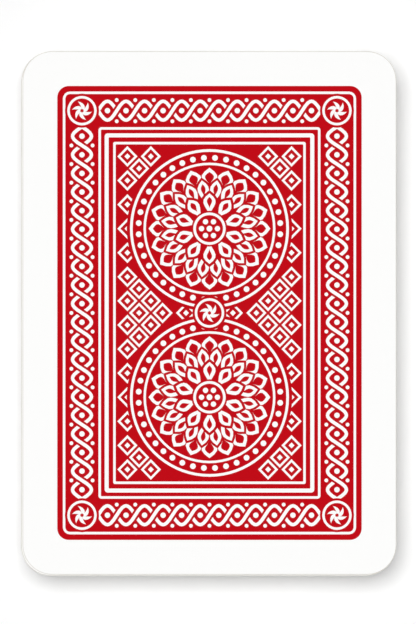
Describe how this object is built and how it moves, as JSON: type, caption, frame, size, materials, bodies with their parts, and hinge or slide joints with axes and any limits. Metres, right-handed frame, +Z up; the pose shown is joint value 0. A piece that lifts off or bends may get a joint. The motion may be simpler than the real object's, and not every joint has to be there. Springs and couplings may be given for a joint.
{
  "type": "playing card deck",
  "caption": "Stack of loose rounded-corner playing cards lying face down; the cards fan out about a thumb pivot and the top card draws off along its length.",
  "frame": {"origin": "middle of the bottom card's face, on the surface that the deck lies on", "axes": "+Z up out of the printed backs, +Y along the cards' length away from the thumb, +X along their width"},
  "size_m": [0.0638, 0.0892, 0.0162],
  "materials": {
    "coated_card": "satin varnish"
  },
  "bodies": {
    "ace_of_spades": {"ace_of_spades": "coated_card"},
    "two_of_spades": {"two_of_spades": "coated_card"},
    "three_of_spades": {"three_of_spades": "coated_card"},
    "four_of_spades": {"four_of_spades": "coated_card"},
    "five_of_spades": {"five_of_spades": "coated_card"},
    "six_of_spades": {"six_of_spades": "coated_card"},
    "seven_of_spades": {"seven_of_spades": "coated_card"},
    "eight_of_spades": {"eight_of_spades": "coated_card"},
    "nine_of_spades": {"nine_of_spades": "coated_card"},
    "ten_of_spades": {"ten_of_spades": "coated_card"},
    "jack_of_spades": {"jack_of_spades": "coated_card"},
    "queen_of_spades": {"queen_of_spades": "coated_card"},
    "king_of_spades": {"king_of_spades": "coated_card"},
    "ace_of_hearts": {"ace_of_hearts": "coated_card"},
    "two_of_hearts": {"two_of_hearts": "coated_card"},
    "three_of_hearts": {"three_of_hearts": "coated_card"},
    "four_of_hearts": {"four_of_hearts": "coated_card"},
    "five_of_hearts": {"five_of_hearts": "coated_card"},
    "six_of_hearts": {"six_of_hearts": "coated_card"},
    "seven_of_hearts": {"seven_of_hearts": "coated_card"},
    "eight_of_hearts": {"eight_of_hearts": "coated_card"},
    "nine_of_hearts": {"nine_of_hearts": "coated_card"},
    "ten_of_hearts": {"ten_of_hearts": "coated_card"},
    "jack_of_hearts": {"jack_of_hearts": "coated_card"},
    "queen_of_hearts": {"queen_of_hearts": "coated_card"},
    "king_of_hearts": {"king_of_hearts": "coated_card"},
    "ace_of_clubs": {"ace_of_clubs": "coated_card"},
    "two_of_clubs": {"two_of_clubs": "coated_card"},
    "three_of_clubs": {"three_of_clubs": "coated_card"},
    "four_of_clubs": {"four_of_clubs": "coated_card"},
    "five_of_clubs": {"five_of_clubs": "coated_card"},
    "six_of_clubs": {"six_of_clubs": "coated_card"},
    "seven_of_clubs": {"seven_of_clubs": "coated_card"},
    "eight_of_clubs": {"eight_of_clubs": "coated_card"},
    "nine_of_clubs": {"nine_of_clubs": "coated_card"},
    "ten_of_clubs": {"ten_of_clubs": "coated_card"},
    "jack_of_clubs": {"jack_of_clubs": "coated_card"},
    "queen_of_clubs": {"queen_of_clubs": "coated_card"},
    "king_of_clubs": {"king_of_clubs": "coated_card"},
    "ace_of_diamonds": {"ace_of_diamonds": "coated_card"},
    "two_of_diamonds": {"two_of_diamonds": "coated_card"},
    "three_of_diamonds": {"three_of_diamonds": "coated_card"},
    "four_of_diamonds": {"four_of_diamonds": "coated_card"},
    "five_of_diamonds": {"five_of_diamonds": "coated_card"},
    "six_of_diamonds": {"six_of_diamonds": "coated_card"},
    "seven_of_diamonds": {"seven_of_diamonds": "coated_card"},
    "eight_of_diamonds": {"eight_of_diamonds": "coated_card"},
    "nine_of_diamonds": {"nine_of_diamonds": "coated_card"},
    "ten_of_diamonds": {"ten_of_diamonds": "coated_card"},
    "jack_of_diamonds": {"jack_of_diamonds": "coated_card"},
    "queen_of_diamonds": {"queen_of_diamonds": "coated_card"},
    "king_of_diamonds": {"king_of_diamonds": "coated_card"},
    "joker_black": {"joker_black": "coated_card"},
    "joker_red": {"joker_red": "coated_card"}
  },
  "joints": [
    {"name": "fan_two_of_spades", "type": "hinge", "parent": "ace_of_spades", "child": "two_of_spades", "pos_m": [0, -0.03545, 0], "axis": [0, 0, 1], "range_deg": [0, 3.38]},
    {"name": "fan_three_of_spades", "type": "hinge", "parent": "ace_of_spades", "child": "three_of_spades", "pos_m": [0, -0.03545, 0], "axis": [0, 0, 1], "range_deg": [0, 6.27]},
    {"name": "fan_four_of_spades", "type": "hinge", "parent": "ace_of_spades", "child": "four_of_spades", "pos_m": [0, -0.03545, 0], "axis": [0, 0, 1], "range_deg": [0, 9.15]},
    {"name": "fan_five_of_spades", "type": "hinge", "parent": "ace_of_spades", "child": "five_of_spades", "pos_m": [0, -0.03545, 0], "axis": [0, 0, 1], "range_deg": [0, 12.04]},
    {"name": "fan_six_of_spades", "type": "hinge", "parent": "ace_of_spades", "child": "six_of_spades", "pos_m": [0, -0.03545, 0], "axis": [0, 0, 1], "range_deg": [0, 14.92]},
    {"name": "fan_seven_of_spades", "type": "hinge", "parent": "ace_of_spades", "child": "seven_of_spades", "pos_m": [0, -0.03545, 0], "axis": [0, 0, 1], "range_deg": [0, 17.81]},
    {"name": "fan_eight_of_spades", "type": "hinge", "parent": "ace_of_spades", "child": "eight_of_spades", "pos_m": [0, -0.03545, 0], "axis": [0, 0, 1], "range_deg": [0, 20.69]},
    {"name": "fan_nine_of_spades", "type": "hinge", "parent": "ace_of_spades", "child": "nine_of_spades", "pos_m": [0, -0.03545, 0], "axis": [0, 0, 1], "range_deg": [0, 23.58]},
    {"name": "fan_ten_of_spades", "type": "hinge", "parent": "ace_of_spades", "child": "ten_of_spades", "pos_m": [0, -0.03545, 0], "axis": [0, 0, 1], "range_deg": [0, 26.46]},
    {"name": "fan_jack_of_spades", "type": "hinge", "parent": "ace_of_spades", "child": "jack_of_spades", "pos_m": [0, -0.03545, 0], "axis": [0, 0, 1], "range_deg": [0, 29.35]},
    {"name": "fan_queen_of_spades", "type": "hinge", "parent": "ace_of_spades", "child": "queen_of_spades", "pos_m": [0, -0.03545, 0], "axis": [0, 0, 1], "range_deg": [0, 32.23]},
    {"name": "fan_king_of_spades", "type": "hinge", "parent": "ace_of_spades", "child": "king_of_spades", "pos_m": [0, -0.03545, 0], "axis": [0, 0, 1], "range_deg": [0, 35.12]},
    {"name": "fan_ace_of_hearts", "type": "hinge", "parent": "ace_of_spades", "child": "ace_of_hearts", "pos_m": [0, -0.03545, 0], "axis": [0, 0, 1], "range_deg": [0, 38]},
    {"name": "fan_two_of_hearts", "type": "hinge", "parent": "ace_of_spades", "child": "two_of_hearts", "pos_m": [0, -0.03545, 0], "axis": [0, 0, 1], "range_deg": [0, 40.88]},
    {"name": "fan_three_of_hearts", "type": "hinge", "parent": "ace_of_spades", "child": "three_of_hearts", "pos_m": [0, -0.03545, 0], "axis": [0, 0, 1], "range_deg": [0, 43.77]},
    {"name": "fan_four_of_hearts", "type": "hinge", "parent": "ace_of_spades", "child": "four_of_hearts", "pos_m": [0, -0.03545, 0], "axis": [0, 0, 1], "range_deg": [0, 46.65]},
    {"name": "fan_five_of_hearts", "type": "hinge", "parent": "ace_of_spades", "child": "five_of_hearts", "pos_m": [0, -0.03545, 0], "axis": [0, 0, 1], "range_deg": [0, 49.54]},
    {"name": "fan_six_of_hearts", "type": "hinge", "parent": "ace_of_spades", "child": "six_of_hearts", "pos_m": [0, -0.03545, 0], "axis": [0, 0, 1], "range_deg": [0, 52.42]},
    {"name": "fan_seven_of_hearts", "type": "hinge", "parent": "ace_of_spades", "child": "seven_of_hearts", "pos_m": [0, -0.03545, 0], "axis": [0, 0, 1], "range_deg": [0, 55.31]},
    {"name": "fan_eight_of_hearts", "type": "hinge", "parent": "ace_of_spades", "child": "eight_of_hearts", "pos_m": [0, -0.03545, 0], "axis": [0, 0, 1], "range_deg": [0, 58.19]},
    {"name": "fan_nine_of_hearts", "type": "hinge", "parent": "ace_of_spades", "child": "nine_of_hearts", "pos_m": [0, -0.03545, 0], "axis": [0, 0, 1], "range_deg": [0, 61.08]},
    {"name": "fan_ten_of_hearts", "type": "hinge", "parent": "ace_of_spades", "child": "ten_of_hearts", "pos_m": [0, -0.03545, 0], "axis": [0, 0, 1], "range_deg": [0, 63.96]},
    {"name": "fan_jack_of_hearts", "type": "hinge", "parent": "ace_of_spades", "child": "jack_of_hearts", "pos_m": [0, -0.03545, 0], "axis": [0, 0, 1], "range_deg": [0, 66.85]},
    {"name": "fan_queen_of_hearts", "type": "hinge", "parent": "ace_of_spades", "child": "queen_of_hearts", "pos_m": [0, -0.03545, 0], "axis": [0, 0, 1], "range_deg": [0, 69.73]},
    {"name": "fan_king_of_hearts", "type": "hinge", "parent": "ace_of_spades", "child": "king_of_hearts", "pos_m": [0, -0.03545, 0], "axis": [0, 0, 1], "range_deg": [0, 72.61]},
    {"name": "fan_ace_of_clubs", "type": "hinge", "parent": "ace_of_spades", "child": "ace_of_clubs", "pos_m": [0, -0.03545, 0], "axis": [0, 0, 1], "range_deg": [0, 75.5]},
    {"name": "fan_two_of_clubs", "type": "hinge", "parent": "ace_of_spades", "child": "two_of_clubs", "pos_m": [0, -0.03545, 0], "axis": [0, 0, 1], "range_deg": [0, 78.39]},
    {"name": "fan_three_of_clubs", "type": "hinge", "parent": "ace_of_spades", "child": "three_of_clubs", "pos_m": [0, -0.03545, 0], "axis": [0, 0, 1], "range_deg": [0, 81.27]},
    {"name": "fan_four_of_clubs", "type": "hinge", "parent": "ace_of_spades", "child": "four_of_clubs", "pos_m": [0, -0.03545, 0], "axis": [0, 0, 1], "range_deg": [0, 84.15]},
    {"name": "fan_five_of_clubs", "type": "hinge", "parent": "ace_of_spades", "child": "five_of_clubs", "pos_m": [0, -0.03545, 0], "axis": [0, 0, 1], "range_deg": [0, 87.04]},
    {"name": "fan_six_of_clubs", "type": "hinge", "parent": "ace_of_spades", "child": "six_of_clubs", "pos_m": [0, -0.03545, 0], "axis": [0, 0, 1], "range_deg": [0, 89.92]},
    {"name": "fan_seven_of_clubs", "type": "hinge", "parent": "ace_of_spades", "child": "seven_of_clubs", "pos_m": [0, -0.03545, 0], "axis": [0, 0, 1], "range_deg": [0, 92.81]},
    {"name": "fan_eight_of_clubs", "type": "hinge", "parent": "ace_of_spades", "child": "eight_of_clubs", "pos_m": [0, -0.03545, 0], "axis": [0, 0, 1], "range_deg": [0, 95.69]},
    {"name": "fan_nine_of_clubs", "type": "hinge", "parent": "ace_of_spades", "child": "nine_of_clubs", "pos_m": [0, -0.03545, 0], "axis": [0, 0, 1], "range_deg": [0, 98.58]},
    {"name": "fan_ten_of_clubs", "type": "hinge", "parent": "ace_of_spades", "child": "ten_of_clubs", "pos_m": [0, -0.03545, 0], "axis": [0, 0, 1], "range_deg": [0, 101.46]},
    {"name": "fan_jack_of_clubs", "type": "hinge", "parent": "ace_of_spades", "child": "jack_of_clubs", "pos_m": [0, -0.03545, 0], "axis": [0, 0, 1], "range_deg": [0, 104.35]},
    {"name": "fan_queen_of_clubs", "type": "hinge", "parent": "ace_of_spades", "child": "queen_of_clubs", "pos_m": [0, -0.03545, 0], "axis": [0, 0, 1], "range_deg": [0, 107.23]},
    {"name": "fan_king_of_clubs", "type": "hinge", "parent": "ace_of_spades", "child": "king_of_clubs", "pos_m": [0, -0.03545, 0], "axis": [0, 0, 1], "range_deg": [0, 110.11]},
    {"name": "fan_ace_of_diamonds", "type": "hinge", "parent": "ace_of_spades", "child": "ace_of_diamonds", "pos_m": [0, -0.03545, 0], "axis": [0, 0, 1], "range_deg": [0, 113]},
    {"name": "fan_two_of_diamonds", "type": "hinge", "parent": "ace_of_spades", "child": "two_of_diamonds", "pos_m": [0, -0.03545, 0], "axis": [0, 0, 1], "range_deg": [0, 115.89]},
    {"name": "fan_three_of_diamonds", "type": "hinge", "parent": "ace_of_spades", "child": "three_of_diamonds", "pos_m": [0, -0.03545, 0], "axis": [0, 0, 1], "range_deg": [0, 118.77]},
    {"name": "fan_four_of_diamonds", "type": "hinge", "parent": "ace_of_spades", "child": "four_of_diamonds", "pos_m": [0, -0.03545, 0], "axis": [0, 0, 1], "range_deg": [0, 121.65]},
    {"name": "fan_five_of_diamonds", "type": "hinge", "parent": "ace_of_spades", "child": "five_of_diamonds", "pos_m": [0, -0.03545, 0], "axis": [0, 0, 1], "range_deg": [0, 124.54]},
    {"name": "fan_six_of_diamonds", "type": "hinge", "parent": "ace_of_spades", "child": "six_of_diamonds", "pos_m": [0, -0.03545, 0], "axis": [0, 0, 1], "range_deg": [0, 127.42]},
    {"name": "fan_seven_of_diamonds", "type": "hinge", "parent": "ace_of_spades", "child": "seven_of_diamonds", "pos_m": [0, -0.03545, 0], "axis": [0, 0, 1], "range_deg": [0, 130.31]},
    {"name": "fan_eight_of_diamonds", "type": "hinge", "parent": "ace_of_spades", "child": "eight_of_diamonds", "pos_m": [0, -0.03545, 0], "axis": [0, 0, 1], "range_deg": [0, 133.19]},
    {"name": "fan_nine_of_diamonds", "type": "hinge", "parent": "ace_of_spades", "child": "nine_of_diamonds", "pos_m": [0, -0.03545, 0], "axis": [0, 0, 1], "range_deg": [0, 136.08]},
    {"name": "fan_ten_of_diamonds", "type": "hinge", "parent": "ace_of_spades", "child": "ten_of_diamonds", "pos_m": [0, -0.03545, 0], "axis": [0, 0, 1], "range_deg": [0, 138.96]},
    {"name": "fan_jack_of_diamonds", "type": "hinge", "parent": "ace_of_spades", "child": "jack_of_diamonds", "pos_m": [0, -0.03545, 0], "axis": [0, 0, 1], "range_deg": [0, 141.85]},
    {"name": "fan_queen_of_diamonds", "type": "hinge", "parent": "ace_of_spades", "child": "queen_of_diamonds", "pos_m": [0, -0.03545, 0], "axis": [0, 0, 1], "range_deg": [0, 144.73]},
    {"name": "fan_king_of_diamonds", "type": "hinge", "parent": "ace_of_spades", "child": "king_of_diamonds", "pos_m": [0, -0.03545, 0], "axis": [0, 0, 1], "range_deg": [0, 147.62]},
    {"name": "fan", "type": "hinge", "parent": "ace_of_spades", "child": "joker_black", "pos_m": [0, -0.03545, 0], "axis": [0, 0, 1], "range_deg": [0, 150]},
    {"name": "draw", "type": "slide", "parent": "joker_black", "child": "joker_red", "axis": [0, 1, 0], "range_m": [0, 0.0889]}
  ],
  "couplings": [
    {"joint": "fan_two_of_spades", "follows": "fan", "ratio": 0.019231},
    {"joint": "fan_three_of_spades", "follows": "fan", "ratio": 0.038462},
    {"joint": "fan_four_of_spades", "follows": "fan", "ratio": 0.057692},
    {"joint": "fan_five_of_spades", "follows": "fan", "ratio": 0.076923},
    {"joint": "fan_six_of_spades", "follows": "fan", "ratio": 0.096154},
    {"joint": "fan_seven_of_spades", "follows": "fan", "ratio": 0.11539},
    {"joint": "fan_eight_of_spades", "follows": "fan", "ratio": 0.13462},
    {"joint": "fan_nine_of_spades", "follows": "fan", "ratio": 0.15385},
    {"joint": "fan_ten_of_spades", "follows": "fan", "ratio": 0.17308},
    {"joint": "fan_jack_of_spades", "follows": "fan", "ratio": 0.19231},
    {"joint": "fan_queen_of_spades", "follows": "fan", "ratio": 0.21154},
    {"joint": "fan_king_of_spades", "follows": "fan", "ratio": 0.23077},
    {"joint": "fan_ace_of_hearts", "follows": "fan", "ratio": 0.25},
    {"joint": "fan_two_of_hearts", "follows": "fan", "ratio": 0.26923},
    {"joint": "fan_three_of_hearts", "follows": "fan", "ratio": 0.28846},
    {"joint": "fan_four_of_hearts", "follows": "fan", "ratio": 0.30769},
    {"joint": "fan_five_of_hearts", "follows": "fan", "ratio": 0.32692},
    {"joint": "fan_six_of_hearts", "follows": "fan", "ratio": 0.34615},
    {"joint": "fan_seven_of_hearts", "follows": "fan", "ratio": 0.36539},
    {"joint": "fan_eight_of_hearts", "follows": "fan", "ratio": 0.38461},
    {"joint": "fan_nine_of_hearts", "follows": "fan", "ratio": 0.40385},
    {"joint": "fan_ten_of_hearts", "follows": "fan", "ratio": 0.42308},
    {"joint": "fan_jack_of_hearts", "follows": "fan", "ratio": 0.44231},
    {"joint": "fan_queen_of_hearts", "follows": "fan", "ratio": 0.46154},
    {"joint": "fan_king_of_hearts", "follows": "fan", "ratio": 0.48077},
    {"joint": "fan_ace_of_clubs", "follows": "fan", "ratio": 0.5},
    {"joint": "fan_two_of_clubs", "follows": "fan", "ratio": 0.51923},
    {"joint": "fan_three_of_clubs", "follows": "fan", "ratio": 0.53846},
    {"joint": "fan_four_of_clubs", "follows": "fan", "ratio": 0.55769},
    {"joint": "fan_five_of_clubs", "follows": "fan", "ratio": 0.57692},
    {"joint": "fan_six_of_clubs", "follows": "fan", "ratio": 0.59615},
    {"joint": "fan_seven_of_clubs", "follows": "fan", "ratio": 0.61538},
    {"joint": "fan_eight_of_clubs", "follows": "fan", "ratio": 0.63462},
    {"joint": "fan_nine_of_clubs", "follows": "fan", "ratio": 0.65385},
    {"joint": "fan_ten_of_clubs", "follows": "fan", "ratio": 0.67308},
    {"joint": "fan_jack_of_clubs", "follows": "fan", "ratio": 0.69231},
    {"joint": "fan_queen_of_clubs", "follows": "fan", "ratio": 0.71154},
    {"joint": "fan_king_of_clubs", "follows": "fan", "ratio": 0.73077},
    {"joint": "fan_ace_of_diamonds", "follows": "fan", "ratio": 0.75},
    {"joint": "fan_two_of_diamonds", "follows": "fan", "ratio": 0.76923},
    {"joint": "fan_three_of_diamonds", "follows": "fan", "ratio": 0.78846},
    {"joint": "fan_four_of_diamonds", "follows": "fan", "ratio": 0.80769},
    {"joint": "fan_five_of_diamonds", "follows": "fan", "ratio": 0.82692},
    {"joint": "fan_six_of_diamonds", "follows": "fan", "ratio": 0.84615},
    {"joint": "fan_seven_of_diamonds", "follows": "fan", "ratio": 0.86538},
    {"joint": "fan_eight_of_diamonds", "follows": "fan", "ratio": 0.88462},
    {"joint": "fan_nine_of_diamonds", "follows": "fan", "ratio": 0.90385},
    {"joint": "fan_ten_of_diamonds", "follows": "fan", "ratio": 0.92308},
    {"joint": "fan_jack_of_diamonds", "follows": "fan", "ratio": 0.94231},
    {"joint": "fan_queen_of_diamonds", "follows": "fan", "ratio": 0.96154},
    {"joint": "fan_king_of_diamonds", "follows": "fan", "ratio": 0.98077}
  ]
}
